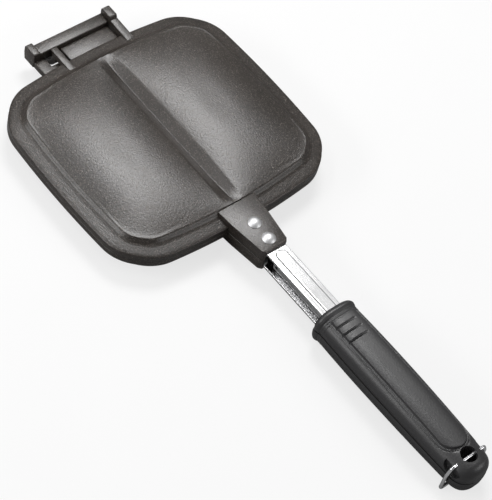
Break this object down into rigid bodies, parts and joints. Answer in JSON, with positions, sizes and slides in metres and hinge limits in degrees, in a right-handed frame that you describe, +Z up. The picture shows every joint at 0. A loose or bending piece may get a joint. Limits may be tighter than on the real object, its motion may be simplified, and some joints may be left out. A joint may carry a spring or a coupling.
{
  "type": "pie iron",
  "caption": "Hinged cast pie iron with a creased pillow on each plate, riveted strip shanks, a split grip and a swinging wire clasp.",
  "frame": {"origin": "middle of the whole iron's bounding box in X and Y, at its lowest point", "axes": "+X from the hinge toward the tail of the handles, +Z up through the closed plates, +Y across to the hinge's journal side"},
  "size_m": [0.3498, 0.1512, 0.0252],
  "materials": {
    "cast_coating": "die cast, baked dark coating with a fine metallic fleck",
    "stainless_strip": "bright pressed strip",
    "rivet_metal": "bright domed heads",
    "grip_plastic": "satin moulded heat resistant plastic",
    "screw_metal": "plain zinc",
    "clasp_steel": "bright bent wire"
  },
  "bodies": {
    "lower_half": {"lower_plate": "cast_coating", "lower_shank": "stainless_strip", "lower_rivets": "rivet_metal", "lower_handle": "grip_plastic", "lower_handle_screw": "screw_metal"},
    "upper_half": {"upper_plate": "cast_coating", "upper_shank": "stainless_strip", "upper_rivets": "rivet_metal", "upper_handle": "grip_plastic", "upper_handle_screw": "screw_metal"},
    "clasp": {"clasp_wire": "clasp_steel"}
  },
  "joints": [
    {"name": "plate_hinge", "type": "hinge", "parent": "lower_half", "child": "upper_half", "pos_m": [-0.16922, 0, 0.0136], "axis": [0, -1, 0], "range_deg": [0, 180]},
    {"name": "clasp_swing", "type": "hinge", "parent": "upper_half", "child": "clasp", "pos_m": [0.16437, 0, 0.0204], "axis": [0, -1, 0], "range_deg": [0, 240]}
  ]
}
